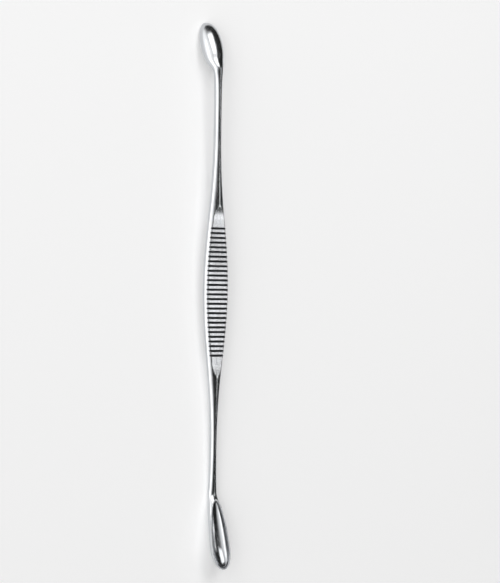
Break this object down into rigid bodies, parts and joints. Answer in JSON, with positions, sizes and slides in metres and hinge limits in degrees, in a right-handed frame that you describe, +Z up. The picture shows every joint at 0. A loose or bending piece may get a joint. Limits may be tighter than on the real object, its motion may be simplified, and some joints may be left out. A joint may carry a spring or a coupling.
{
  "type": "bone curette",
  "caption": "Double-ended bone curette in one forged piece, with an oval cup, a long pear-shaped cup facing the other way and a flat grooved handle.",
  "frame": {"origin": "centre of the bounding box at the level that the instrument lies on", "axes": "+Y along the instrument from the long cup to the oval cup, +X across the handle, +Z up, out of the long cup's mouth"},
  "size_m": [0.0096, 0.1652, 0.0064],
  "materials": {
    "stainless_steel": "polished"
  },
  "bodies": {
    "root": {"curette": "stainless_steel"}
  },
  "joints": []
}
